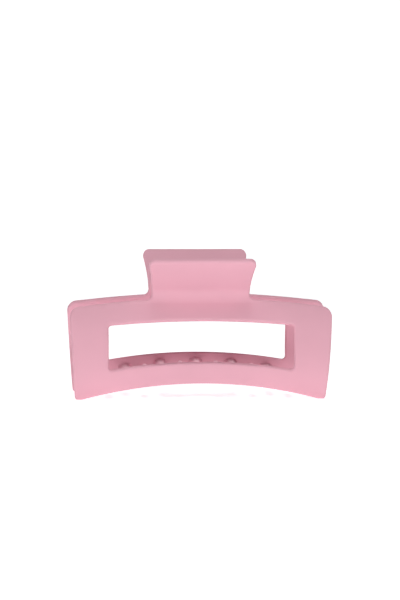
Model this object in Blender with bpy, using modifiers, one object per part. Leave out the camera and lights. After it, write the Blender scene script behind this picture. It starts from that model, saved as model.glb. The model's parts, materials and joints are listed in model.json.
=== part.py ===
"""Claw clip for hair: two moulded jaws, a hinge pin and a torsion spring.

Units are metres. +X runs along the clip and along the hinge pin, -Y is the front,
+Z is up. The origin is on the surface that the closed clip stands on, under its middle.
The front jaw stays still, and the rear jaw turns about the pin.
"""

import math

import bmesh
import bpy
from mathutils import Matrix

MM = 0.001

# Moulded wall of a jaw, and how its outer face curves from foot to handle tip.
WALL = 2.4 * MM
EDGE_ROUND = 1.05 * MM
BELLY_REACH = 19.0 * MM
BELLY_HEIGHT = 18.5 * MM
BELLY_RADIUS = 32.0 * MM
SHOULDER_ANGLE = math.radians(36.4)
WAIST_RADIUS = 5.0 * MM
FLARE_ANGLE = math.radians(45.0)
TIP_HEIGHT = 55.3 * MM

# Frame of a jaw, seen from the front.
LENGTH = 103.5 * MM
SIDE_TAPER = 2.05 * MM
FRAME_HEIGHT = 40.0 * MM
FRAME_CROWN_RADIUS = 400.0 * MM
FRAME_TOP_CORNER = 4.0 * MM
FOOT_CORNER = 1.5 * MM
FOOT_LENGTH = 0.9 * MM
ARCH_RISE = 6.3 * MM
FOOT_TRIM = 0.65 * MM

# Window of a jaw.
WINDOW_LENGTH = 73.0 * MM
WINDOW_TOP = 31.7 * MM
WINDOW_TOP_RADIUS = 380.0 * MM
WINDOW_SILL = 15.15 * MM
WINDOW_SILL_RADIUS = 200.0 * MM
WINDOW_CORNER = 1.4 * MM

# Handle of a jaw.
HANDLE_BASE_WIDTH = 38.7 * MM
HANDLE_SIDE_RADIUS = 52.0 * MM
HANDLE_SIDE_START = 40.0 * MM
HANDLE_CORNER = 2.4 * MM
HANDLE_FILLET = 2.0 * MM

# Hinge. The pin's height is counted up from the lowest place where the coil clears the flares.
PIN_RISE = 0.42 * MM
PIN_RADIUS = 1.0 * MM
PIN_HEAD_RADIUS = 1.7 * MM
PIN_HEAD_THICKNESS = 0.9 * MM
PIN_CAP_SHARE = 0.6
PIN_CLEARANCE = 0.3 * MM
HINGE_GAP = 0.4 * MM
LUG_THICKNESS = 2.6 * MM
LUG_EYE_RADIUS = 3.6 * MM
LUG_WEB_DROP = 5.0 * MM
LUG_WEB_RISE = 3.4 * MM
LUG_HEEL_HEIGHT = 2.4 * MM
STOP_GAP = 0.4 * MM

# Spring. Its coil lies between the two flares and clears them by the leg gap.
WIRE_RADIUS = 0.6 * MM
LEG_GAP = 0.3 * MM
COIL_RADIUS = 3.3 * MM
COIL_TURNS = 8
COIL_PITCH = 1.6 * MM
QUARTER_TURN = 0.25
SPRING_LEG = 18.0 * MM
SPRING_LEG_TIP = 3.0 * MM

# Teeth, which reach inwards from the lower rail.
TOOTH_PITCH = 14.2 * MM
FRONT_TEETH = 6
REAR_TEETH = 5
TOOTH_OVERLAP = 3.0 * MM
TOOTH_ROOT_WIDTH = 4.2 * MM
TOOTH_TIP_WIDTH = 1.7 * MM
TOOTH_ROOT_HEIGHT = 5.6 * MM
TOOTH_TIP_HEIGHT = 1.4 * MM
TOOTH_POINT = 0.5 * MM
TOOTH_CURL = 2.2 * MM

# How finely curves are divided.
BELLY_STEPS = 16
WAIST_STEPS = 9
CORNER_STEPS = 5
RIM_SEGMENTS = 2
RIM_ANGLE = math.radians(50)
ARCH_STEPS = 8
WIRE_STEPS = 14
ROUND_SIDES = 24

EPSILON = 1e-8
MERGE_DISTANCE = 1e-5
GROUND_DEPTH = 5.0 * MM

FRONT = -1
REAR = 1


def clear_scene():
    for item in list(bpy.data.objects):
        bpy.data.objects.remove(item, do_unlink=True)


def make_collection(name):
    collection = bpy.data.collections.new(name)
    bpy.context.scene.collection.children.link(collection)
    return collection


def linear(channel):
    """One 0-255 screen colour channel as a linear value."""
    value = channel / 255
    if value <= 0.04045:
        return value / 12.92
    return ((value + 0.055) / 1.055) ** 2.4


def make_material(name, rgb, roughness, metallic):
    material = bpy.data.materials.new(name)
    material.use_nodes = True
    shader = material.node_tree.nodes["Principled BSDF"]
    shader.inputs["Base Color"].default_value = (*[linear(c) for c in rgb], 1.0)
    shader.inputs["Roughness"].default_value = roughness
    shader.inputs["Metallic"].default_value = metallic
    return material


def add_object(name, data, collection):
    item = bpy.data.objects.new(name, data)
    collection.objects.link(item)
    return item


def mesh_from(name, fill):
    """A new mesh that fill(bm) builds."""
    mesh = bpy.data.meshes.new(name)
    bm = bmesh.new()
    fill(bm)
    bm.to_mesh(mesh)
    bm.free()
    return mesh


def move_to(item, collection):
    for owner in list(item.users_collection):
        owner.objects.unlink(item)
    collection.objects.link(item)


def hide_tool(item):
    """Marks an object that only shapes another one."""
    item.hide_render = True
    item.display_type = "WIRE"


# ---------------------------------------------------------------- jaw profile


def waist_centre():
    """Centre of the outward-facing hollow between frame and handle, as (reach, height)."""
    distance = BELLY_RADIUS + WAIST_RADIUS
    reach = BELLY_REACH - BELLY_RADIUS + distance * math.cos(SHOULDER_ANGLE)
    height = BELLY_HEIGHT + distance * math.sin(SHOULDER_ANGLE)
    return reach, height


def flare_start():
    """Where the waist hollow runs into the straight flare of the handle."""
    reach, height = waist_centre()
    return (
        reach - WAIST_RADIUS * math.cos(FLARE_ANGLE),
        height + WAIST_RADIUS * math.sin(FLARE_ANGLE),
    )


def shoulder_height():
    return BELLY_HEIGHT + BELLY_RADIUS * math.sin(SHOULDER_ANGLE)


def outer_reach(height):
    """Distance of a jaw's outer face from the middle plane at a height."""
    centre_reach, centre_height = waist_centre()
    flare_reach, flare_height = flare_start()
    if height <= shoulder_height():
        return BELLY_REACH - BELLY_RADIUS + math.sqrt(BELLY_RADIUS**2 - (height - BELLY_HEIGHT) ** 2)
    if height <= flare_height:
        return centre_reach - math.sqrt(WAIST_RADIUS**2 - (height - centre_height) ** 2)
    return flare_reach + (height - flare_height) * math.tan(FLARE_ANGLE)


def waist_inner_reach():
    """Distance of the inner face from the middle plane where the waist is narrowest."""
    return waist_centre()[0] - WAIST_RADIUS - WALL


def pin_height():
    """Height of the pin: where the coil clears both flares by the leg gap, and its rise."""
    reach, height = waist_centre()
    off_waist = COIL_RADIUS + WIRE_RADIUS + LEG_GAP + WALL + WAIST_RADIUS
    seat = height + (off_waist - reach * math.cos(FLARE_ANGLE)) / math.sin(FLARE_ANGLE)
    return seat + PIN_RISE


def profile_heights():
    """Heights at which the outer face bends, so that its arcs are evenly divided."""
    low = math.asin((BELLY_HEIGHT + FOOT_TRIM) / BELLY_RADIUS)
    heights = []
    for step in range(BELLY_STEPS + 1):
        angle = -low + (SHOULDER_ANGLE + low) * step / BELLY_STEPS
        heights.append(BELLY_HEIGHT + BELLY_RADIUS * math.sin(angle))
    centre_height = waist_centre()[1]
    for step in range(1, WAIST_STEPS + 1):
        angle = -SHOULDER_ANGLE + (FLARE_ANGLE + SHOULDER_ANGLE) * step / WAIST_STEPS
        heights.append(centre_height + WAIST_RADIUS * math.sin(angle))
    return heights + [TIP_HEIGHT]


def face_tilt(height):
    """How far the outer face looks up at a height, as an angle."""
    centre_height = waist_centre()[1]
    if height <= shoulder_height():
        return math.asin((height - BELLY_HEIGHT) / BELLY_RADIUS)
    if height <= flare_start()[1]:
        return math.asin((centre_height - height) / WAIST_RADIUS)
    return -FLARE_ANGLE


def bent(height, depth):
    """Where a point of the flat plate goes, as (reach, height), on the facet between two bends."""
    bends = profile_heights()
    upper = next(index for index, bend in enumerate(bends) if index > 0 and height <= bend + EPSILON)
    ends = []
    for bend in (bends[upper - 1], bends[upper]):
        tilt = face_tilt(bend)
        ends.append((outer_reach(bend) - depth * math.cos(tilt), bend - depth * math.sin(tilt)))
    share = (height - bends[upper - 1]) / (bends[upper] - bends[upper - 1])
    low, high = ends
    return tuple(start + (end - start) * share for start, end in zip(low, high))


# ---------------------------------------------------------------- jaw outline


def crown(peak, radius, x):
    """Height of an arch that peaks at the middle, at a distance x from it."""
    return peak - radius + math.sqrt(radius**2 - x**2)


def arc(centre, radius, start, end, steps):
    """Points on an arc from one angle to another, both in degrees."""
    points = []
    for step in range(steps + 1):
        angle = math.radians(start + (end - start) * step / steps)
        points.append((centre[0] + radius * math.cos(angle), centre[1] + radius * math.sin(angle)))
    return points


def half_bottom():
    return LENGTH / 2 - SIDE_TAPER


def arch_radius():
    """Radius of the arch between the feet, whose ends are trimmed level."""
    half_span = foot_start()
    rise = ARCH_RISE + FOOT_TRIM
    return (half_span**2 + rise**2) / (2 * rise)


def foot_start():
    return half_bottom() - FOOT_CORNER - FOOT_LENGTH


def handle_side_x(height):
    """Half width of the handle at a height."""
    rise = height - HANDLE_SIDE_START
    return HANDLE_BASE_WIDTH / 2 + HANDLE_SIDE_RADIUS - math.sqrt(HANDLE_SIDE_RADIUS**2 - rise**2)


def bottom_points():
    """From the middle of the arch to the outer end of the foot."""
    points = []
    for step in range(ARCH_STEPS + 1):
        x = foot_start() * step / ARCH_STEPS
        points.append((x, crown(ARCH_RISE, arch_radius(), x)))
    centre = (half_bottom() - FOOT_CORNER, FOOT_CORNER - FOOT_TRIM)
    return points + arc(centre, FOOT_CORNER, -90, 0, CORNER_STEPS)


def frame_top_points():
    """From the top corner of the frame in to the foot of the handle."""
    corner_x = LENGTH / 2 - FRAME_TOP_CORNER
    corner_z = crown(FRAME_HEIGHT, FRAME_CROWN_RADIUS, corner_x) - FRAME_TOP_CORNER
    points = arc((corner_x, corner_z), FRAME_TOP_CORNER, 0, 90, CORNER_STEPS)
    fillet_x = HANDLE_BASE_WIDTH / 2 + HANDLE_FILLET
    for step in range(1, ARCH_STEPS):
        x = corner_x + (fillet_x - corner_x) * step / ARCH_STEPS
        points.append((x, crown(FRAME_HEIGHT, FRAME_CROWN_RADIUS, x)))
    fillet_z = crown(FRAME_HEIGHT, FRAME_CROWN_RADIUS, fillet_x) + HANDLE_FILLET
    return points + arc((fillet_x, fillet_z), HANDLE_FILLET, 270, 180, CORNER_STEPS)


def handle_points():
    """From the foot of the handle, up its side and round its corner to the middle."""
    start = frame_top_points()[-1][1]
    corner_z = TIP_HEIGHT - HANDLE_CORNER
    points = []
    for step in range(1, ARCH_STEPS + 1):
        height = start + (corner_z - start) * step / ARCH_STEPS
        points.append((handle_side_x(height), height))
    centre = (handle_side_x(corner_z) - HANDLE_CORNER, corner_z)
    points += arc(centre, HANDLE_CORNER, 0, 90, CORNER_STEPS)[1:]
    return points + [(0.0, TIP_HEIGHT)]


def window_points():
    """From the middle of the window's top, down its side to the middle of its sill."""
    corner_x = WINDOW_LENGTH / 2 - WINDOW_CORNER
    top_z = crown(WINDOW_TOP, WINDOW_TOP_RADIUS, corner_x) - WINDOW_CORNER
    sill_z = crown(WINDOW_SILL, WINDOW_SILL_RADIUS, corner_x) + WINDOW_CORNER
    points = []
    for step in range(ARCH_STEPS):
        x = corner_x * step / ARCH_STEPS
        points.append((x, crown(WINDOW_TOP, WINDOW_TOP_RADIUS, x)))
    points += arc((corner_x, top_z), WINDOW_CORNER, 90, 0, CORNER_STEPS)
    points += arc((corner_x, sill_z), WINDOW_CORNER, 0, -90, CORNER_STEPS)
    for step in range(ARCH_STEPS - 1, -1, -1):
        x = corner_x * step / ARCH_STEPS
        points.append((x, crown(WINDOW_SILL, WINDOW_SILL_RADIUS, x)))
    return points


def half_outline():
    """Half of a jaw seen from the front, open at the middle plane."""
    return bottom_points() + frame_top_points() + handle_points() + window_points()


# ---------------------------------------------------------------- jaw plate


def flat_half(bm):
    """Half of the flat outline as one face, whose outer side looks to the front."""
    face = bm.faces.new([bm.verts.new((x, 0.0, z)) for x, z in half_outline()])
    face.normal_update()
    if face.normal.y > 0:
        face.normal_flip()


def add_flat_plate(name, collection):
    """The whole jaw as a flat plate with a rounded rim, its depth along +Y."""
    plate = add_object(name, mesh_from(name, flat_half), collection)
    mirror = plate.modifiers.new("both_halves", "MIRROR")
    mirror.merge_threshold = MERGE_DISTANCE
    wall = plate.modifiers.new("wall", "SOLIDIFY")
    wall.thickness = WALL
    wall.offset = -1.0
    rounding = plate.modifiers.new("rounded_rim", "BEVEL")
    rounding.width = EDGE_ROUND
    rounding.segments = RIM_SEGMENTS
    rounding.limit_method = "ANGLE"
    rounding.angle_limit = RIM_ANGLE
    return plate


def bend_plate(bm, facing):
    """Divides a flat plate along its length and bends it to the jaw's profile."""
    for height in profile_heights()[1:-1]:
        geometry = bm.verts[:] + bm.edges[:] + bm.faces[:]
        level = (0, 0, height)
        bmesh.ops.bisect_plane(bm, geom=geometry, plane_co=level, plane_no=(0, 0, 1), dist=EPSILON)
    for vert in bm.verts:
        reach, height = bent(vert.co.z, vert.co.y)
        vert.co = (vert.co.x, facing * reach, height)
    bmesh.ops.recalc_face_normals(bm, faces=bm.faces[:])


def evaluated_mesh(item):
    """A new mesh of an object as its modifiers leave it."""
    bpy.context.view_layer.update()
    return bpy.data.meshes.new_from_object(item.evaluated_get(bpy.context.evaluated_depsgraph_get()))


def add_plate(name, facing, collection):
    flat = add_flat_plate(name + "_flat", collection)
    mesh = evaluated_mesh(flat)
    bpy.data.objects.remove(flat, do_unlink=True)
    bm = bmesh.new()
    bm.from_mesh(mesh)
    bend_plate(bm, facing)
    bm.to_mesh(mesh)
    bm.free()
    return add_object(name, mesh, collection)


# ---------------------------------------------------------------- lugs and teeth


def extruded(name, outline, thickness, x, collection):
    """A flat outline of (y, z) points, given a thickness along X and centred on x."""
    curve = bpy.data.curves.new(name, "CURVE")
    curve.dimensions = "2D"
    curve.fill_mode = "BOTH"
    curve.extrude = thickness / 2
    spline = curve.splines.new("POLY")
    spline.points.add(len(outline) - 1)
    spline.use_cyclic_u = True
    for point, (y, z) in zip(spline.points, outline):
        point.co = (y, z, 0.0, 1.0)
    flat = add_object(name + "_curve", curve, collection)
    flat.matrix_world = Matrix(((0, 0, 1, x), (1, 0, 0, 0), (0, 1, 0, 0), (0, 0, 0, 1)))
    mesh = evaluated_mesh(flat)
    bm = bmesh.new()
    bm.from_mesh(mesh)
    bmesh.ops.remove_doubles(bm, verts=bm.verts[:], dist=MERGE_DISTANCE)
    bmesh.ops.recalc_face_normals(bm, faces=bm.faces[:])
    bm.to_mesh(mesh)
    bm.free()
    solid = add_object(name, mesh, collection)
    solid.matrix_world = flat.matrix_world
    bpy.data.objects.remove(flat, do_unlink=True)
    hide_tool(solid)
    return solid


def wall_middle(height):
    """Reach of the middle of the wall at a height, where lugs and teeth take root."""
    return outer_reach(height) - WALL / 2


def lug_outline(facing):
    """Side of a lug: web on its own wall, eye round the pin, heel by the other wall."""
    axis = pin_height()
    web_low = axis - LUG_WEB_DROP
    web_high = axis + LUG_WEB_RISE
    heel_reach = waist_inner_reach() - STOP_GAP
    heel_low = axis - LUG_EYE_RADIUS
    points = [(-y, z) for y, z in arc((0, axis), LUG_EYE_RADIUS, 90, 30, CORNER_STEPS)]
    points += [(-heel_reach, heel_low + LUG_HEEL_HEIGHT), (-heel_reach, heel_low), (0.0, heel_low)]
    for step in range(CORNER_STEPS + 1):
        height = web_low + (web_high - web_low) * step / CORNER_STEPS
        points.append((wall_middle(height), height))
    return [(facing * y, z) for y, z in points]


def lug_centres(facing):
    """The front jaw holds the pin inside, next to the spring; the rear jaw outside."""
    inner = coil_length() / 2 + WIRE_RADIUS + HINGE_GAP + LUG_THICKNESS / 2
    if facing == FRONT:
        return (-inner, inner)
    outer = inner + LUG_THICKNESS + HINGE_GAP
    return (-outer, outer)


def tooth_outline(facing, x):
    """Side of a tooth: a claw that grows out of the lower rail and curls up."""
    sill = crown(WINDOW_SILL, WINDOW_SILL_RADIUS, x)
    rail = crown(ARCH_RISE, arch_radius(), x)
    middle = (sill + rail) / 2
    root = wall_middle(middle)
    upper = []
    lower = []
    for step in range(CORNER_STEPS + 1):
        along = step / CORNER_STEPS
        reach = root + (-TOOTH_OVERLAP - root) * along
        lift = TOOTH_CURL * along**2
        half = (TOOTH_ROOT_HEIGHT + (TOOTH_TIP_HEIGHT - TOOTH_ROOT_HEIGHT) * along) / 2
        upper.append((facing * reach, middle + lift + half))
        lower.append((facing * reach, middle + lift - half))
    tip = [(-facing * (TOOTH_OVERLAP + TOOTH_POINT), middle + TOOTH_CURL)]
    return upper + tip + lower[::-1]


def tooth_centres(count):
    return [(index - (count - 1) / 2) * TOOTH_PITCH for index in range(count)]


def taper_tooth(tooth, facing, root):
    """Narrows a tooth from its root to its tip."""
    for vert in tooth.data.vertices:
        along = (root - facing * vert.co.x) / (root + TOOTH_OVERLAP)
        width = TOOTH_ROOT_WIDTH + (TOOTH_TIP_WIDTH - TOOTH_ROOT_WIDTH) * along
        vert.co.z *= width / TOOTH_ROOT_WIDTH


def join_tool(target, tool, operation):
    boolean = target.modifiers.new(tool.name, "BOOLEAN")
    boolean.operation = operation
    boolean.solver = "EXACT"
    boolean.object = tool


def add_bore_cutter(name, reach_x, collection):
    """A cylinder along the pin, with the pin's clearance."""
    radius = PIN_RADIUS + PIN_CLEARANCE
    bpy.ops.mesh.primitive_cylinder_add(vertices=ROUND_SIDES, radius=radius, depth=2 * reach_x)
    cutter = bpy.context.object
    cutter.name = name
    cutter.rotation_euler = (0, math.pi / 2, 0)
    cutter.location = (0, 0, pin_height())
    move_to(cutter, collection)
    hide_tool(cutter)
    return cutter


def add_ground_cutter(collection):
    """A slab under the clip, whose top trims the feet level."""
    bpy.ops.mesh.primitive_cube_add(size=1, location=(0, 0, -GROUND_DEPTH / 2))
    cutter = bpy.context.object
    cutter.name = "ground"
    cutter.scale = (LENGTH * 2, LENGTH, GROUND_DEPTH)
    move_to(cutter, collection)
    hide_tool(cutter)
    return cutter


def add_jaw(name, facing, teeth, material, parts, tools, ground):
    """One moulded jaw: plate, teeth and lugs in one piece, with the pin's bores."""
    jaw = add_plate(name, facing, parts)
    join_tool(jaw, ground, "DIFFERENCE")
    for index, x in enumerate(tooth_centres(teeth), 1):
        outline = tooth_outline(facing, x)
        tooth = extruded(f"{name}_tooth_{index}", outline, TOOTH_ROOT_WIDTH, x, tools)
        taper_tooth(tooth, facing, facing * outline[0][0])
        join_tool(jaw, tooth, "UNION")
    for index, x in enumerate(lug_centres(facing), 1):
        lug = extruded(f"{name}_lug_{index}", lug_outline(facing), LUG_THICKNESS, x, tools)
        join_tool(jaw, lug, "UNION")
    bore = add_bore_cutter(name + "_bore", lug_centres(facing)[1] + LUG_THICKNESS, tools)
    join_tool(jaw, bore, "DIFFERENCE")
    jaw.data.materials.append(material)
    jaw.data.shade_smooth()
    return jaw


# ---------------------------------------------------------------- pin and spring


def pin_half_length():
    """From the middle to the inner face of a pin head."""
    return lug_centres(REAR)[1] + LUG_THICKNESS / 2 + HINGE_GAP


def pin_profile():
    """Half section of the pin as (radius, position), from one end to the other."""
    shoulder = pin_half_length()
    end = shoulder + PIN_HEAD_THICKNESS
    rim = end - PIN_HEAD_THICKNESS / 2
    cap = PIN_HEAD_RADIUS * PIN_CAP_SHARE
    head = [(0.0, end), (cap, end), (PIN_HEAD_RADIUS, rim), (PIN_HEAD_RADIUS, shoulder)]
    upper = head + [(PIN_RADIUS, shoulder)]
    lower = [(radius, -position) for radius, position in reversed(upper)]
    return upper + lower


def add_pin(material, parts):
    def fill(bm):
        verts = [bm.verts.new((radius, 0.0, position)) for radius, position in pin_profile()]
        for first, second in zip(verts, verts[1:]):
            bm.edges.new((first, second))

    pin = add_object("hinge_pin", mesh_from("hinge_pin", fill), parts)
    turn = pin.modifiers.new("turned", "SCREW")
    turn.steps = ROUND_SIDES
    turn.render_steps = ROUND_SIDES
    turn.use_merge_vertices = True
    turn.merge_threshold = MERGE_DISTANCE
    turn.use_smooth_shade = True
    pin.rotation_euler = (0, math.pi / 2, 0)
    pin.location = (0, 0, pin_height())
    pin.data.materials.append(material)
    return pin


def coil_length():
    """From end to end of the coil's middle line; the legs leave it a quarter turn on."""
    return (COIL_TURNS + QUARTER_TURN) * COIL_PITCH


def spring_points():
    """The wire from the front leg's tip, round the coil, to the rear leg's tip."""
    across, up = math.sin(FLARE_ANGLE), math.cos(FLARE_ANGLE)
    half = coil_length() / 2
    start = math.pi + FLARE_ANGLE
    total = 2 * math.pi * COIL_TURNS + math.pi - 2 * FLARE_ANGLE
    steps = round(total / (2 * math.pi) * WIRE_STEPS)
    coil = []
    for step in range(steps + 1):
        angle = start + total * step / steps
        x = -half + coil_length() * step / steps
        coil.append((x, COIL_RADIUS * math.cos(angle), COIL_RADIUS * math.sin(angle)))
    legs = []
    for (x, y, z), facing in ((coil[0], FRONT), (coil[-1], REAR)):
        legs.append([(x, y + facing * reach * across, z + reach * up) for reach in leg_stations()])
    return legs[0][::-1] + coil + legs[1]


def leg_stations():
    """Distances along a spring leg at which its wire has a point."""
    straight = SPRING_LEG - SPRING_LEG_TIP
    return [straight / 3, straight * 2 / 3, straight, SPRING_LEG]


def add_spring(material, parts):
    curve = bpy.data.curves.new("torsion_spring", "CURVE")
    curve.dimensions = "3D"
    curve.bevel_depth = WIRE_RADIUS
    curve.bevel_resolution = 2
    curve.use_fill_caps = True
    points = spring_points()
    spline = curve.splines.new("POLY")
    spline.points.add(len(points) - 1)
    for point, position in zip(spline.points, points):
        point.co = (*position, 1.0)
    curve.materials.append(material)
    spring = add_object("torsion_spring", curve, parts)
    spring.location = (0, 0, pin_height())
    return spring


def main():
    clear_scene()
    parts = make_collection("claw_clip")
    tools = make_collection("cutters")
    plastic = make_material("soft_touch_plastic", (238, 180, 193), 0.55, 0.0)
    steel = make_material("plated_steel", (196, 196, 200), 0.28, 1.0)

    hinge = add_object("hinge_axis", None, parts)
    hinge.location = (0, 0, pin_height())

    ground = add_ground_cutter(tools)
    add_jaw("front_jaw", FRONT, FRONT_TEETH, plastic, parts, tools, ground)
    rear_jaw = add_jaw("rear_jaw", REAR, REAR_TEETH, plastic, parts, tools, ground)
    rear_jaw.parent = hinge
    rear_jaw.matrix_parent_inverse = Matrix.Translation((0, 0, -pin_height()))
    add_pin(steel, parts)
    add_spring(steel, parts)


main()
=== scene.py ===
"""Looks of the claw clip: fine moulded jaws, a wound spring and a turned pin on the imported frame.

The jaws are flat plates with rounded rims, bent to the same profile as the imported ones.
Units are metres, +X runs along the hinge pin, -Y is the front and +Z is up.
"""

import json
import math

import bmesh
import bpy
from mathutils import Matrix, Vector


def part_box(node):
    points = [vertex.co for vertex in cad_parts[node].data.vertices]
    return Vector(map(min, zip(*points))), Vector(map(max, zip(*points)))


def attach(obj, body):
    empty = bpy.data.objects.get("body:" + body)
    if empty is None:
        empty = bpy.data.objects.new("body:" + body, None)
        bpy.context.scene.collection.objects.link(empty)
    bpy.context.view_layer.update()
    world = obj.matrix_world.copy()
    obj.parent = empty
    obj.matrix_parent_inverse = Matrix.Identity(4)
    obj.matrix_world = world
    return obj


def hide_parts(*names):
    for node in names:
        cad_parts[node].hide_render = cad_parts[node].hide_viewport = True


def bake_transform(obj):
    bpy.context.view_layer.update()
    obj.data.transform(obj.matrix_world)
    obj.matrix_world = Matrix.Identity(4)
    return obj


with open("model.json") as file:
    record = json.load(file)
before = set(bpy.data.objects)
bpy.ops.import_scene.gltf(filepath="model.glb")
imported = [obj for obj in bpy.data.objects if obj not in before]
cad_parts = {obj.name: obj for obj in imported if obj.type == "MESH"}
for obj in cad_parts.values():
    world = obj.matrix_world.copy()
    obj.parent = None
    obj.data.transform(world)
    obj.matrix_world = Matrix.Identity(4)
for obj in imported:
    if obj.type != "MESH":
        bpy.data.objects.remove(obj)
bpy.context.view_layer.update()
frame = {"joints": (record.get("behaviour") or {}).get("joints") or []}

MM = 0.001

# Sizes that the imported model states.
JAW_LOW, JAW_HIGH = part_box("front_jaw")
LENGTH = JAW_HIGH.x - JAW_LOW.x
PIN_HEIGHT = frame["joints"][0]["pos_m"][2]

# Wall and profile of a jaw, from foot to handle tip.
WALL = 2.4 * MM
EDGE_ROUND = 1.08 * MM
BELLY_REACH = 19.0 * MM
BELLY_HEIGHT = 18.5 * MM
BELLY_RADIUS = 32.0 * MM
SHOULDER_ANGLE = math.radians(36.4)
WAIST_RADIUS = 5.0 * MM
FLARE_ANGLE = math.radians(45.0)
TIP_HEIGHT = 55.2 * MM

# Frame of a jaw, seen from the front.
SIDE_TAPER = 2.05 * MM
FRAME_HEIGHT = 40.0 * MM
FRAME_CROWN_RADIUS = 400.0 * MM
FRAME_TOP_CORNER = 4.0 * MM
FOOT_CORNER = 1.5 * MM
FOOT_LENGTH = 0.9 * MM
ARCH_RISE = 6.3 * MM
FOOT_TRIM = 0.65 * MM
GROUND_DEPTH = 5.0 * MM

# Window of a jaw.
WINDOW_LENGTH = 73.0 * MM
WINDOW_TOP = 31.7 * MM
WINDOW_TOP_RADIUS = 380.0 * MM
WINDOW_SILL = 15.15 * MM
WINDOW_SILL_RADIUS = 200.0 * MM
WINDOW_CORNER = 1.4 * MM

# Handle of a jaw.
HANDLE_BASE_WIDTH = 38.7 * MM
HANDLE_SIDE_RADIUS = 52.0 * MM
HANDLE_SIDE_START = 40.0 * MM
HANDLE_CORNER = 2.4 * MM
HANDLE_FILLET = 2.0 * MM

# Hinge.
PIN_RADIUS = 1.0 * MM
PIN_HEAD_RADIUS = 1.7 * MM
PIN_HEAD_THICKNESS = 0.9 * MM
PIN_NECK = 0.12 * MM
PIN_CLEARANCE = 0.3 * MM
HINGE_GAP = 0.4 * MM
LUG_THICKNESS = 2.6 * MM
LUG_ROUND = 0.35 * MM
LUG_EYE_RADIUS = 3.6 * MM
LUG_EYE_END_DEGREES = 30
LUG_WEB_DROP = 5.0 * MM
LUG_WEB_RISE = 3.4 * MM
LUG_HEEL_HEIGHT = 2.4 * MM
STOP_GAP = 0.4 * MM

# Spring.
WIRE_RADIUS = 0.6 * MM
COIL_RADIUS = 3.3 * MM
COIL_TURNS = 8
COIL_PITCH = 1.6 * MM
QUARTER_TURN = 0.25
SPRING_LEG = 18.0 * MM

# Teeth.
TOOTH_PITCH = 14.2 * MM
FRONT_TEETH = 6
REAR_TEETH = 5
TOOTH_OVERLAP = 3.0 * MM
TOOTH_POINT = 0.5 * MM
TOOTH_ROOT_WIDTH = 4.2 * MM
TOOTH_TIP_WIDTH = 1.7 * MM
TOOTH_ROOT_HEIGHT = 4.8 * MM
TOOTH_TIP_HEIGHT = 1.4 * MM
TOOTH_CURL = 2.2 * MM
TOOTH_FLARE = 1.5 * MM
TOOTH_SQUARENESS = 2.8
TOOTH_LAST_RING = 0.999

# Finishes. Colours are screen values from 0 to 255, and marks stretch a noise along X, Y and Z.
PINK = (225, 169, 184)
PALE_PINK = (229, 172, 187)
PIN_STEEL = (196, 196, 201)
SPRING_STEEL = (190, 190, 196)
TURNING_MARKS = (0.02, 4, 4)
NOISE_MIDDLE = 0.5
NOISE_SPREAD = 0.2

# Stage, in metres. Its glow grows from FLOOR_GLOW at GLOW_NEAR to FAR_GLOW at GLOW_FAR.
STAGE_HALF = 3.0
STAGE_BACK = 1.6
STAGE_CURVE = 0.8
STAGE_TOP = 3.0
FLOOR_DROP = 0.02 * MM
FLOOR_TONE = 0.86
FLOOR_GLOW = 0.62
FAR_GLOW = 1.0
GLOW_NEAR = 0.4
GLOW_FAR = 1.4

# Lights: the name of each, its place in metres and its power in watts.
SOFTBOXES = (
    ("front_left", (-0.46, -0.65, 0.45), 2.5),
    ("front_right", (0.46, -0.65, 0.45), 1.75),
    ("top", (0.0, 0.0, 0.93), 2.0),
)
SOFTBOX_SIZE = 0.22
LIGHT_AIM = Vector((0.0, 0.0, 0.03))
SURROUND_LIGHT = 0.02
WHITE = (1.0, 1.0, 1.0, 1.0)

# Camera. Its lens and sensor are stated in millimetres, as Blender takes them.
LENS = 181.8
SENSOR_HEIGHT = 36.0
CAMERA_DISTANCE = 1205.0 * MM
CAMERA_AIM = Vector((0.6, 0.0, 38.0)) * MM
CAMERA_AZIMUTH = math.radians(4.39)
CAMERA_ELEVATION = math.radians(5.73)
CAMERA_ROLL = math.radians(0.283)
NEAREST_SEEN = 0.01
FARTHEST_SEEN = 20.0

# How finely curves are divided.
BELLY_STEPS = 72
WAIST_STEPS = 30
ARCH_STEPS = 40
CORNER_STEPS = 14
HANDLE_STEPS = 20
RIM_SEGMENTS = 6
LUG_SEGMENTS = 3
TOOTH_SECTIONS = 20
TOOTH_SIDES = 28
ROUND_SIDES = 64
WIRE_STEPS = 40
WIRE_BEVEL = 6
DOME_STEPS = 8
STAGE_STEPS = 16

# Least angle of a hard edge, largest difference ignored and distance within which points merge.
SHARP_ANGLE = math.radians(38)
EPSILON = 1e-8
MERGE_DISTANCE = 1e-6

# Which way a jaw faces along Y.
FRONT = -1
REAR = 1


# ---------------------------------------------------------------- small helpers


def add_object(name, data):
    item = bpy.data.objects.new(name, data)
    bpy.context.scene.collection.objects.link(item)
    return item


def mesh_from(name, fill):
    """A new mesh that fill(bm) builds."""
    mesh = bpy.data.meshes.new(name)
    bm = bmesh.new()
    fill(bm)
    bm.to_mesh(mesh)
    bm.free()
    return mesh


def evaluated_mesh(item):
    """A new mesh of an object as its modifiers leave it."""
    bpy.context.view_layer.update()
    return bpy.data.meshes.new_from_object(item.evaluated_get(bpy.context.evaluated_depsgraph_get()))


def frozen(item):
    """Replaces an object by a mesh object of the same name, with its modifiers applied."""
    name = item.name
    mesh = evaluated_mesh(item)
    mesh.transform(item.matrix_world)
    bpy.data.objects.remove(item, do_unlink=True)
    mesh.name = name
    return add_object(name, mesh)


def smooth(item):
    """Smooth shading that keeps broad faces true and breaks only at hard edges."""
    item.data.shade_smooth()
    item.data.set_sharp_from_angle(angle=SHARP_ANGLE)
    weighted = item.modifiers.new("weighted_normals", "WEIGHTED_NORMAL")
    weighted.weight = 100
    weighted.keep_sharp = True


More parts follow.
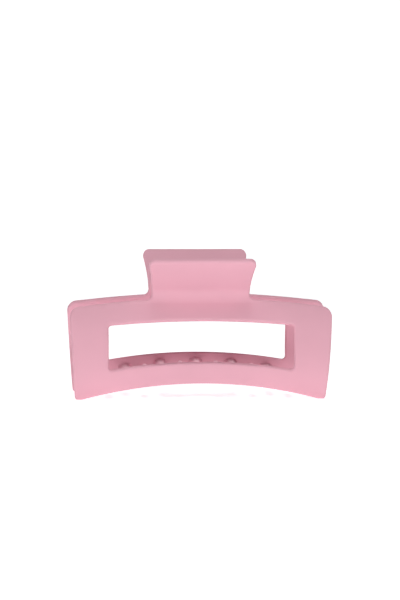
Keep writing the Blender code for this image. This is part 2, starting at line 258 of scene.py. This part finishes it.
def join_tool(target, tool, operation):
    boolean = target.modifiers.new(tool.name, "BOOLEAN")
    boolean.operation = operation
    boolean.solver = "EXACT"
    boolean.object = tool


# ---------------------------------------------------------------- jaw profile


def waist_centre():
    """Centre of the outward-facing hollow between frame and handle, as (reach, height)."""
    distance = BELLY_RADIUS + WAIST_RADIUS
    reach = BELLY_REACH - BELLY_RADIUS + distance * math.cos(SHOULDER_ANGLE)
    height = BELLY_HEIGHT + distance * math.sin(SHOULDER_ANGLE)
    return reach, height


def flare_start():
    """Where the waist hollow runs into the straight flare of the handle."""
    reach, height = waist_centre()
    across = WAIST_RADIUS * math.cos(FLARE_ANGLE)
    return reach - across, height + WAIST_RADIUS * math.sin(FLARE_ANGLE)


def shoulder_height():
    return BELLY_HEIGHT + BELLY_RADIUS * math.sin(SHOULDER_ANGLE)


def outer_reach(height):
    """Distance of a jaw's outer face from the middle plane at a height."""
    centre_reach, centre_height = waist_centre()
    flare_reach, flare_height = flare_start()
    if height <= shoulder_height():
        return BELLY_REACH - BELLY_RADIUS + math.sqrt(BELLY_RADIUS**2 - (height - BELLY_HEIGHT) ** 2)
    if height <= flare_height:
        return centre_reach - math.sqrt(WAIST_RADIUS**2 - (height - centre_height) ** 2)
    return flare_reach + (height - flare_height) * math.tan(FLARE_ANGLE)


def face_tilt(height):
    """How far the outer face looks up at a height, as an angle."""
    if height <= shoulder_height():
        return math.asin((height - BELLY_HEIGHT) / BELLY_RADIUS)
    if height <= flare_start()[1]:
        return math.asin((waist_centre()[1] - height) / WAIST_RADIUS)
    return -FLARE_ANGLE


def bent(height, depth):
    """Where a point of the flat plate goes, as (reach, height)."""
    tilt = face_tilt(height)
    return outer_reach(height) - depth * math.cos(tilt), height - depth * math.sin(tilt)


def bend_heights():
    """Heights at which the flat plate is divided, so that its arcs come out round."""
    low = math.asin((BELLY_HEIGHT + FOOT_TRIM) / BELLY_RADIUS)
    heights = []
    for step in range(1, BELLY_STEPS + 1):
        angle = -low + (SHOULDER_ANGLE + low) * step / BELLY_STEPS
        heights.append(BELLY_HEIGHT + BELLY_RADIUS * math.sin(angle))
    for step in range(1, WAIST_STEPS + 1):
        angle = -SHOULDER_ANGLE + (FLARE_ANGLE + SHOULDER_ANGLE) * step / WAIST_STEPS
        heights.append(waist_centre()[1] + WAIST_RADIUS * math.sin(angle))
    return heights


# ---------------------------------------------------------------- jaw outline


def crown(peak, radius, x):
    """Height of an arch that peaks at the middle, at a distance x from it."""
    return peak - radius + math.sqrt(radius**2 - x**2)


def arc(centre, radius, start, end, steps):
    """Points on an arc from one angle to another, both in degrees."""
    points = []
    for step in range(steps + 1):
        angle = math.radians(start + (end - start) * step / steps)
        points.append((centre[0] + radius * math.cos(angle), centre[1] + radius * math.sin(angle)))
    return points


def half_bottom():
    return LENGTH / 2 - SIDE_TAPER


def foot_start():
    return half_bottom() - FOOT_CORNER - FOOT_LENGTH


def arch_radius():
    """Radius of the arch between the feet, whose ends are trimmed level."""
    rise = ARCH_RISE + FOOT_TRIM
    return (foot_start() ** 2 + rise**2) / (2 * rise)


def handle_side_x(height):
    """Half width of the handle at a height."""
    rise = height - HANDLE_SIDE_START
    return HANDLE_BASE_WIDTH / 2 + HANDLE_SIDE_RADIUS - math.sqrt(HANDLE_SIDE_RADIUS**2 - rise**2)


def bottom_points():
    """From the middle of the arch to the outer end of the foot."""
    points = []
    for step in range(ARCH_STEPS + 1):
        x = foot_start() * step / ARCH_STEPS
        points.append((x, crown(ARCH_RISE, arch_radius(), x)))
    centre = (half_bottom() - FOOT_CORNER, FOOT_CORNER - FOOT_TRIM)
    return points + arc(centre, FOOT_CORNER, -90, 0, CORNER_STEPS)


def frame_top_points():
    """From the top corner of the frame in to the foot of the handle."""
    corner_x = LENGTH / 2 - FRAME_TOP_CORNER
    corner_z = crown(FRAME_HEIGHT, FRAME_CROWN_RADIUS, corner_x) - FRAME_TOP_CORNER
    points = arc((corner_x, corner_z), FRAME_TOP_CORNER, 0, 90, CORNER_STEPS)
    fillet_x = HANDLE_BASE_WIDTH / 2 + HANDLE_FILLET
    for step in range(1, HANDLE_STEPS):
        x = corner_x + (fillet_x - corner_x) * step / HANDLE_STEPS
        points.append((x, crown(FRAME_HEIGHT, FRAME_CROWN_RADIUS, x)))
    fillet_z = crown(FRAME_HEIGHT, FRAME_CROWN_RADIUS, fillet_x) + HANDLE_FILLET
    return points + arc((fillet_x, fillet_z), HANDLE_FILLET, 270, 180, CORNER_STEPS)


def handle_points():
    """From the foot of the handle, up its side and round its corner to the middle."""
    start = frame_top_points()[-1][1]
    corner_z = TIP_HEIGHT - HANDLE_CORNER
    points = []
    for step in range(1, HANDLE_STEPS + 1):
        height = start + (corner_z - start) * step / HANDLE_STEPS
        points.append((handle_side_x(height), height))
    centre = (handle_side_x(corner_z) - HANDLE_CORNER, corner_z)
    points += arc(centre, HANDLE_CORNER, 0, 90, CORNER_STEPS)[1:]
    return points + [(0.0, TIP_HEIGHT)]


def window_points():
    """From the middle of the window's top, down its side to the middle of its sill."""
    corner_x = WINDOW_LENGTH / 2 - WINDOW_CORNER
    top_z = crown(WINDOW_TOP, WINDOW_TOP_RADIUS, corner_x) - WINDOW_CORNER
    sill_z = crown(WINDOW_SILL, WINDOW_SILL_RADIUS, corner_x) + WINDOW_CORNER
    stations = [corner_x * step / ARCH_STEPS for step in range(ARCH_STEPS)]
    top = [(x, crown(WINDOW_TOP, WINDOW_TOP_RADIUS, x)) for x in stations]
    sill = [(x, crown(WINDOW_SILL, WINDOW_SILL_RADIUS, x)) for x in reversed(stations)]
    upper_corner = arc((corner_x, top_z), WINDOW_CORNER, 90, 0, CORNER_STEPS)
    lower_corner = arc((corner_x, sill_z), WINDOW_CORNER, 0, -90, CORNER_STEPS)
    return top + upper_corner + lower_corner + sill


def half_outline():
    """Half of a jaw seen from the front, open at the middle plane."""
    return bottom_points() + frame_top_points() + handle_points() + window_points()


# ---------------------------------------------------------------- jaw plate


def rim_weight(edge):
    """Share of the full rounding that an edge of the flat plate gets."""
    first, second = (vert.co for vert in edge.verts)
    if abs(first.y - second.y) > EPSILON or max(abs(first.x), abs(second.x)) < EPSILON:
        return 0.0
    return 1.0


def fill_flat_plate(bm):
    """A flat plate of the whole outline, its outer face at y 0 and its depth along +Y."""
    face = bm.faces.new([bm.verts.new((x, 0.0, z)) for x, z in half_outline()])
    face.normal_update()
    if face.normal.y > 0:
        face.normal_flip()
    half = bm.verts[:] + bm.edges[:] + bm.faces[:]
    bmesh.ops.mirror(bm, geom=half, axis="X", merge_dist=MERGE_DISTANCE)
    outer = bm.faces[:]
    made = bmesh.ops.extrude_face_region(bm, geom=outer, use_keep_orig=True)["geom"]
    inner = [item for item in made if isinstance(item, bmesh.types.BMVert)]
    bmesh.ops.translate(bm, verts=inner, vec=(0, WALL, 0))
    bmesh.ops.recalc_face_normals(bm, faces=bm.faces[:])
    weights = bm.edges.layers.float.new("bevel_weight_edge")
    for edge in bm.edges:
        if edge.is_manifold and edge.calc_face_angle(0.0) > SHARP_ANGLE:
            edge[weights] = rim_weight(edge)


def bend_plate(bm, facing):
    """Divides a flat plate along its height and bends it to the jaw's profile."""
    for height in bend_heights():
        geometry = bm.verts[:] + bm.edges[:] + bm.faces[:]
        level = (0, 0, height)
        bmesh.ops.bisect_plane(bm, geom=geometry, plane_co=level, plane_no=(0, 0, 1), dist=EPSILON)
    for vert in bm.verts:
        reach, height = bent(vert.co.z, vert.co.y)
        vert.co = (vert.co.x, facing * reach, height)
    bmesh.ops.recalc_face_normals(bm, faces=bm.faces[:])


def add_plate(name, facing):
    flat = add_object(name + "_flat", mesh_from(name, fill_flat_plate))
    rounding = flat.modifiers.new("rounded_rim", "BEVEL")
    rounding.width = EDGE_ROUND
    rounding.segments = RIM_SEGMENTS
    rounding.limit_method = "WEIGHT"
    mesh = evaluated_mesh(flat)
    bpy.data.objects.remove(flat, do_unlink=True)
    bm = bmesh.new()
    bm.from_mesh(mesh)
    bend_plate(bm, facing)
    bm.to_mesh(mesh)
    bm.free()
    return add_object(name, mesh)


# ---------------------------------------------------------------- lugs and teeth


def wall_middle(height):
    """Reach of the middle of the wall at a height, where lugs and teeth take root."""
    return outer_reach(height) - WALL / 2


def coil_length():
    """From end to end of the coil's middle line; the legs leave it a quarter turn on."""
    return (COIL_TURNS + QUARTER_TURN) * COIL_PITCH


def lug_centres(facing):
    """The front jaw holds the pin inside, next to the spring; the rear jaw outside."""
    inner = coil_length() / 2 + WIRE_RADIUS + HINGE_GAP + LUG_THICKNESS / 2
    if facing == FRONT:
        return (-inner, inner)
    outer = inner + LUG_THICKNESS + HINGE_GAP
    return (-outer, outer)


def lug_outline(facing):
    """Side of a lug: web on its own wall, eye round the pin, heel by the other wall."""
    web_low = PIN_HEIGHT - LUG_WEB_DROP
    web_high = PIN_HEIGHT + LUG_WEB_RISE
    heel_reach = waist_centre()[0] - WAIST_RADIUS - WALL - STOP_GAP
    heel_low = PIN_HEIGHT - LUG_EYE_RADIUS
    eye = arc((0, PIN_HEIGHT), LUG_EYE_RADIUS, 90, LUG_EYE_END_DEGREES, CORNER_STEPS)
    points = [(-y, z) for y, z in eye]
    points += [(-heel_reach, heel_low + LUG_HEEL_HEIGHT), (-heel_reach, heel_low), (0.0, heel_low)]
    for step in range(CORNER_STEPS + 1):
        height = web_low + (web_high - web_low) * step / CORNER_STEPS
        points.append((wall_middle(height), height))
    return [(facing * y, z) for y, z in points]


def add_lug(name, facing, x):
    """A lug with softened edges, as a solid of its own."""

    def fill(bm):
        half = LUG_THICKNESS / 2
        face = bm.faces.new([bm.verts.new((x - half, y, z)) for y, z in lug_outline(facing)])
        made = bmesh.ops.extrude_face_region(bm, geom=[face], use_keep_orig=True)["geom"]
        far = [item for item in made if isinstance(item, bmesh.types.BMVert)]
        bmesh.ops.translate(bm, verts=far, vec=(LUG_THICKNESS, 0, 0))
        bmesh.ops.recalc_face_normals(bm, faces=bm.faces[:])

    lug = add_object(name, mesh_from(name, fill))
    rounding = lug.modifiers.new("softened", "BEVEL")
    rounding.width = LUG_ROUND
    rounding.segments = LUG_SEGMENTS
    rounding.limit_method = "ANGLE"
    rounding.angle_limit = SHARP_ANGLE
    return frozen(lug)


def flare(distance, radius):
    """How far a root widens at a distance from its wall, to meet it in a fillet."""
    if distance >= radius:
        return 0.0
    return radius - math.sqrt(radius**2 - (radius - max(distance, 0.0)) ** 2)


def tooth_section(facing, x, along):
    """One rounded section of a tooth, from its root at 0 to its point at 1."""
    middle = (crown(WINDOW_SILL, WINDOW_SILL_RADIUS, x) + crown(ARCH_RISE, arch_radius(), x)) / 2
    root = wall_middle(middle)
    tip = -TOOTH_OVERLAP - TOOTH_POINT
    reach = root + (tip - root) * along
    past_wall = root - WALL / 2 - reach
    near_tip = max(0.0, 1 - (reach - tip) / (2 * TOOTH_POINT))
    closing = math.sqrt(1 - near_tip**2)
    width = TOOTH_ROOT_WIDTH + (TOOTH_TIP_WIDTH - TOOTH_ROOT_WIDTH) * along
    height = TOOTH_ROOT_HEIGHT + (TOOTH_TIP_HEIGHT - TOOTH_ROOT_HEIGHT) * along
    half_width = (width / 2 + flare(past_wall, TOOTH_FLARE)) * closing
    half_height = height / 2 * closing
    centre = middle + TOOTH_CURL * along**2
    points = []
    for side in range(TOOTH_SIDES):
        angle = 2 * math.pi * side / TOOTH_SIDES
        across, up = math.cos(angle), math.sin(angle)
        size = (abs(across) ** TOOTH_SQUARENESS + abs(up) ** TOOTH_SQUARENESS) ** (-1 / TOOTH_SQUARENESS)
        points.append((x + half_width * across * size, facing * reach, centre + half_height * up * size))
    return points


def add_tooth(name, facing, x):
    """A claw that grows out of the lower rail, narrows and curls up."""

    def fill(bm):
        rings = []
        for section in range(TOOTH_SECTIONS + 1):
            share = section / TOOTH_SECTIONS
            along = min(math.sin(share * math.pi / 2), TOOTH_LAST_RING)
            rings.append([bm.verts.new(point) for point in tooth_section(facing, x, along)])
        for ring, after in zip(rings, rings[1:]):
            for index in range(TOOTH_SIDES):
                following = (index + 1) % TOOTH_SIDES
                bm.faces.new((ring[index], ring[following], after[following], after[index]))
        bm.faces.new(rings[0])
        bm.faces.new(rings[-1])
        bmesh.ops.recalc_face_normals(bm, faces=bm.faces[:])

    return add_object(name, mesh_from(name, fill))


def add_bore(name, facing):
    """A cylinder along the pin, with the pin's clearance."""
    depth = 2 * (lug_centres(facing)[1] + LUG_THICKNESS)
    radius = PIN_RADIUS + PIN_CLEARANCE
    bpy.ops.mesh.primitive_cylinder_add(vertices=ROUND_SIDES, radius=radius, depth=depth)
    bore = bpy.context.object
    bore.name = name
    bore.rotation_euler = (0, math.pi / 2, 0)
    bore.location = (0, 0, PIN_HEIGHT)
    return frozen(bore)


def add_ground():
    """A slab under the clip, whose top trims the feet level."""
    bpy.ops.mesh.primitive_cube_add(size=1, location=(0, 0, -GROUND_DEPTH / 2))
    ground = bpy.context.object
    ground.scale = (LENGTH * 2, LENGTH, GROUND_DEPTH)
    return frozen(ground)


def tooth_centres(count):
    return [(index - (count - 1) / 2) * TOOTH_PITCH for index in range(count)]


def add_jaw(name, facing, teeth):
    """One moulded jaw: plate, teeth and lugs in one piece, with the pin's bores."""
    jaw = add_plate(name, facing)
    added = [add_tooth(f"tooth_{index}", facing, x) for index, x in enumerate(tooth_centres(teeth), 1)]
    added += [add_lug(f"lug_{index}", facing, x) for index, x in enumerate(lug_centres(facing), 1)]
    taken = [add_bore("bore", facing), add_ground()]
    for tool in added:
        join_tool(jaw, tool, "UNION")
    for tool in taken:
        join_tool(jaw, tool, "DIFFERENCE")
    jaw = frozen(jaw)
    for tool in added + taken:
        bpy.data.objects.remove(tool, do_unlink=True)
    smooth(jaw)
    return jaw


# ---------------------------------------------------------------- pin and spring


def pin_profile():
    """Half section of the pin as (radius, position), from one end to the other."""
    shoulder = lug_centres(REAR)[1] + LUG_THICKNESS / 2 + HINGE_GAP
    end = shoulder + PIN_HEAD_THICKNESS
    upper = [(0.0, end)]
    for step in range(1, DOME_STEPS + 1):
        angle = math.pi / 2 * step / DOME_STEPS
        rise = PIN_HEAD_THICKNESS / 2 * math.cos(angle)
        upper.append((PIN_HEAD_RADIUS * math.sin(angle), end - PIN_HEAD_THICKNESS / 2 + rise))
    upper.append((PIN_HEAD_RADIUS, shoulder + PIN_NECK))
    upper.append((PIN_HEAD_RADIUS - PIN_NECK, shoulder))
    upper.append((PIN_RADIUS + PIN_NECK, shoulder))
    upper.append((PIN_RADIUS, shoulder - PIN_NECK))
    return upper + [(radius, -position) for radius, position in reversed(upper)]


def add_pin():
    """The pin, turned about its axis, with a domed head at each end."""

    def fill(bm):
        verts = [bm.verts.new((radius, 0.0, position)) for radius, position in pin_profile()]
        for first, second in zip(verts, verts[1:]):
            bm.edges.new((first, second))

    pin = add_object("pin", mesh_from("pin", fill))
    turn = pin.modifiers.new("turned", "SCREW")
    turn.steps = ROUND_SIDES
    turn.render_steps = ROUND_SIDES
    turn.use_merge_vertices = True
    turn.merge_threshold = MERGE_DISTANCE
    pin.rotation_euler = (0, math.pi / 2, 0)
    pin.location = (0, 0, PIN_HEIGHT)
    pin = frozen(pin)
    smooth(pin)
    return pin


def spring_points():
    """The wire from the front leg's tip, round the coil, to the rear leg's tip."""
    across, up = math.sin(FLARE_ANGLE), math.cos(FLARE_ANGLE)
    half = coil_length() / 2
    start = math.pi + FLARE_ANGLE
    total = 2 * math.pi * COIL_TURNS + math.pi - 2 * FLARE_ANGLE
    steps = round(total / (2 * math.pi) * WIRE_STEPS)
    coil = []
    for step in range(steps + 1):
        angle = start + total * step / steps
        x = -half + coil_length() * step / steps
        coil.append((x, COIL_RADIUS * math.cos(angle), COIL_RADIUS * math.sin(angle)))
    legs = []
    for end, side in ((coil[0], FRONT), (coil[-1], REAR)):
        reaches = [SPRING_LEG * step / CORNER_STEPS for step in range(1, CORNER_STEPS + 1)]
        legs.append([(end[0], end[1] + side * reach * across, end[2] + reach * up) for reach in reaches])
    return legs[0][::-1] + coil + legs[1]


def add_spring():
    """The wound wire spring, whose ends are cut square."""
    curve = bpy.data.curves.new("spring", "CURVE")
    curve.dimensions = "3D"
    curve.bevel_depth = WIRE_RADIUS
    curve.bevel_resolution = WIRE_BEVEL
    curve.use_fill_caps = True
    points = spring_points()
    spline = curve.splines.new("POLY")
    spline.points.add(len(points) - 1)
    for point, position in zip(spline.points, points):
        point.co = (*position, 1.0)
    spring = add_object("spring", curve)
    spring.location = (0, 0, PIN_HEIGHT)
    spring = frozen(spring)
    bm = bmesh.new()
    bm.from_mesh(spring.data)
    bmesh.ops.remove_doubles(bm, verts=bm.verts[:], dist=MERGE_DISTANCE)
    bm.to_mesh(spring.data)
    bm.free()
    smooth(spring)
    return spring


# ---------------------------------------------------------------- materials


def linear(channel):
    """One 0-255 screen colour channel as a linear value."""
    value = channel / 255
    if value <= 0.04045:
        return value / 12.92
    return ((value + 0.055) / 1.055) ** 2.4


def colour(rgb, gain=1.0):
    return (*[min(1.0, linear(channel) * gain) for channel in rgb], 1.0)


class Nodes:
    """A material's node tree with short ways to add the nodes that the finishes share."""

    def __init__(self, name):
        self.material = bpy.data.materials.new(name)
        self.material.use_nodes = True
        self.tree = self.material.node_tree
        self.shader = self.tree.nodes["Principled BSDF"]
        self.place = self.tree.nodes.new("ShaderNodeTexCoord").outputs["Object"]

    def link(self, source, target):
        self.tree.links.new(source, target)

    def noise(self, scale, detail, stretch=(1, 1, 1)):
        """A noise value over the piece; scale is in waves per metre."""
        mapping = self.tree.nodes.new("ShaderNodeMapping")
        mapping.inputs["Scale"].default_value = stretch
        noise = self.tree.nodes.new("ShaderNodeTexNoise")
        noise.inputs["Scale"].default_value = scale
        noise.inputs["Detail"].default_value = detail
        self.link(self.place, mapping.inputs["Vector"])
        self.link(mapping.outputs["Vector"], noise.inputs["Vector"])
        return noise.outputs["Fac"]

    def ranged(self, value, start, end, low, high):
        """A value, mapped from start..end to low..high."""
        ranged = self.tree.nodes.new("ShaderNodeMapRange")
        ranged.inputs["From Min"].default_value = start
        ranged.inputs["From Max"].default_value = end
        ranged.inputs["To Min"].default_value = low
        ranged.inputs["To Max"].default_value = high
        self.link(value, ranged.inputs["Value"])
        return ranged.outputs["Result"]

    def spread(self, noise, low, high):
        """A noise value, whose middle part is mapped to low..high."""
        return self.ranged(noise, NOISE_MIDDLE - NOISE_SPREAD, NOISE_MIDDLE + NOISE_SPREAD, low, high)

    def mixed(self, value, first, second):
        """A colour between two, by a value from 0 to 1."""
        mix = self.tree.nodes.new("ShaderNodeMix")
        mix.data_type = "RGBA"
        mix.inputs["A"].default_value = first
        mix.inputs["B"].default_value = second
        self.link(value, mix.inputs["Factor"])
        return mix.outputs["Result"]

    def bump(self, height, distance, strength, under=None):
        """A bump of that depth in metres, on top of another if one is given."""
        bump = self.tree.nodes.new("ShaderNodeBump")
        bump.inputs["Distance"].default_value = distance
        bump.inputs["Strength"].default_value = strength
        self.link(height, bump.inputs["Height"])
        if under is not None:
            self.link(under, bump.inputs["Normal"])
        return bump.outputs["Normal"]

    def set(self, name, value):
        """Gives an input of the shader one value."""
        self.shader.inputs[name].default_value = value

    def feed(self, name, source):
        """Gives an input of the shader what another node works out."""
        self.link(source, self.shader.inputs[name])


def soft_touch_plastic():
    """Matte pink plastic with a fine moulded grain and a faint cloudiness."""
    nodes = Nodes("soft_touch_plastic")
    cloud = nodes.spread(nodes.noise(scale=55.0, detail=3.0), low=0.0, high=1.0)
    nodes.feed("Base Color", nodes.mixed(cloud, colour(PINK), colour(PALE_PINK)))
    patches = nodes.noise(scale=420.0, detail=4.0)
    nodes.feed("Roughness", nodes.spread(patches, low=0.50, high=0.60))
    waves = nodes.bump(nodes.noise(scale=160.0, detail=2.0), distance=0.02 * MM, strength=0.5)
    grain = nodes.noise(scale=5200.0, detail=3.0)
    nodes.feed("Normal", nodes.bump(grain, distance=0.008 * MM, strength=0.6, under=waves))
    nodes.set("IOR", 1.46)
    nodes.set("Specular IOR Level", 0.3)
    nodes.set("Sheen Weight", 0.03)
    nodes.set("Sheen Roughness", 0.5)
    return nodes.material


def plated_steel(name, rgb, stretch=(1, 1, 1)):
    """Nickel-plated steel with fine marks, which run along the axis of the smallest stretch."""
    nodes = Nodes(name)
    marks = nodes.noise(scale=900.0, detail=6.0, stretch=stretch)
    cloud = nodes.spread(nodes.noise(scale=300.0, detail=3.0), low=0.0, high=1.0)
    nodes.feed("Base Color", nodes.mixed(cloud, colour(rgb, gain=0.9), colour(rgb)))
    nodes.feed("Roughness", nodes.spread(marks, low=0.20, high=0.38))
    nodes.feed("Normal", nodes.bump(marks, distance=0.01 * MM, strength=0.5))
    nodes.set("Metallic", 1.0)
    return nodes.material


# ---------------------------------------------------------------- stage


def stage_material():
    """Pale, even surface whose glow grows with distance, so that it stays white to the back."""
    nodes = Nodes("pale_floor")
    distance = nodes.tree.nodes.new("ShaderNodeVectorMath")
    distance.operation = "LENGTH"
    nodes.link(nodes.place, distance.inputs[0])
    glow = nodes.ranged(distance.outputs["Value"], GLOW_NEAR, GLOW_FAR, FLOOR_GLOW, FAR_GLOW)
    nodes.feed("Emission Strength", glow)
    nodes.set("Emission Color", WHITE)
    nodes.set("Base Color", (FLOOR_TONE, FLOOR_TONE, FLOOR_TONE, 1.0))
    nodes.set("Roughness", 0.9)
    nodes.set("Specular IOR Level", 0.0)
    return nodes.material


def add_stage():
    """A floor that sweeps up into a backdrop far behind the clip."""
    section = [(-STAGE_HALF, 0.0), (STAGE_BACK, 0.0)]
    section += arc((STAGE_BACK, STAGE_CURVE), STAGE_CURVE, -90, 0, STAGE_STEPS)[1:]
    section.append((STAGE_BACK + STAGE_CURVE, STAGE_TOP))

    def fill(bm):
        left = [bm.verts.new((-STAGE_HALF, y, z - FLOOR_DROP)) for y, z in section]
        right = [bm.verts.new((STAGE_HALF, y, z - FLOOR_DROP)) for y, z in section]
        for index in range(len(section) - 1):
            bm.faces.new((left[index], right[index], right[index + 1], left[index + 1]))

    floor = add_object("floor", mesh_from("floor", fill))
    floor.data.shade_smooth()
    floor.data.materials.append(stage_material())


def add_softbox(name, place, power):
    """A square area light at a place, which shines on the middle of the clip."""
    lamp = bpy.data.lights.new(name, "AREA")
    lamp.shape = "SQUARE"
    lamp.size = SOFTBOX_SIZE
    lamp.energy = power
    item = add_object(name, lamp)
    item.location = place
    item.rotation_euler = (LIGHT_AIM - Vector(place)).to_track_quat("-Z", "Y").to_euler()


def add_surround():
    """A surround that is white to the camera and gives next to no light."""
    world = bpy.data.worlds.new("studio")
    world.use_nodes = True
    tree = world.node_tree
    dim = tree.nodes["Background"]
    dim.inputs["Color"].default_value = WHITE
    dim.inputs["Strength"].default_value = SURROUND_LIGHT
    seen = tree.nodes.new("ShaderNodeBackground")
    seen.inputs["Color"].default_value = WHITE
    choice = tree.nodes.new("ShaderNodeMixShader")
    tree.links.new(tree.nodes.new("ShaderNodeLightPath").outputs["Is Camera Ray"], choice.inputs["Fac"])
    tree.links.new(dim.outputs["Background"], choice.inputs[1])
    tree.links.new(seen.outputs["Background"], choice.inputs[2])
    tree.links.new(choice.outputs["Shader"], tree.nodes["World Output"].inputs["Surface"])
    bpy.context.scene.world = world


def add_lights():
    """Two soft lights in front, the stronger one on the left, and one above."""
    for name, place, power in SOFTBOXES:
        add_softbox(name, place, power)
    add_surround()


# ---------------------------------------------------------------- camera


def add_camera():
    """The camera in front of the clip, a little to the left and above it."""
    away = Vector((
        math.sin(CAMERA_AZIMUTH) * math.cos(CAMERA_ELEVATION),
        math.cos(CAMERA_AZIMUTH) * math.cos(CAMERA_ELEVATION),
        -math.sin(CAMERA_ELEVATION),
    ))
    level = away.cross(Vector((0, 0, 1))).normalized()
    rise = level.cross(away)
    right = level * math.cos(CAMERA_ROLL) + rise * math.sin(CAMERA_ROLL)
    up = rise * math.cos(CAMERA_ROLL) - level * math.sin(CAMERA_ROLL)
    lens = bpy.data.cameras.new("camera")
    lens.sensor_fit = "VERTICAL"
    lens.sensor_height = SENSOR_HEIGHT
    lens.lens = LENS
    lens.clip_start = NEAREST_SEEN
    lens.clip_end = FARTHEST_SEEN
    camera = add_object("camera", lens)
    turn = Matrix((right, up, -away)).transposed()
    camera.matrix_world = Matrix.Translation(CAMERA_AIM - away * CAMERA_DISTANCE) @ turn.to_4x4()
    bpy.context.scene.camera = camera


# ---------------------------------------------------------------- the clip


def add_clip():
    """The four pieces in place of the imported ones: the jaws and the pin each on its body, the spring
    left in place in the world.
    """
    plastic = soft_touch_plastic()
    front = add_jaw("front_jaw_moulding", FRONT, FRONT_TEETH)
    rear = add_jaw("rear_jaw_moulding", REAR, REAR_TEETH)
    for jaw, body, node in ((front, "front", "front_jaw"), (rear, "rear", "rear_jaw")):
        jaw.data.materials.clear()
        jaw.data.materials.append(plastic)
        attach(jaw, body)
        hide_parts(node)
    pin = add_pin()
    pin.data.materials.append(plated_steel("pin_steel", PIN_STEEL, TURNING_MARKS))
    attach(pin, "front")
    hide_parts("hinge_pin")
    spring = add_spring()
    spring.data.materials.append(plated_steel("spring_steel", SPRING_STEEL))
    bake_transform(spring)
    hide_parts("torsion_spring")


def main():
    bpy.context.scene.view_settings.view_transform = "Standard"
    add_camera()
    add_lights()
    add_stage()
    add_clip()


main()
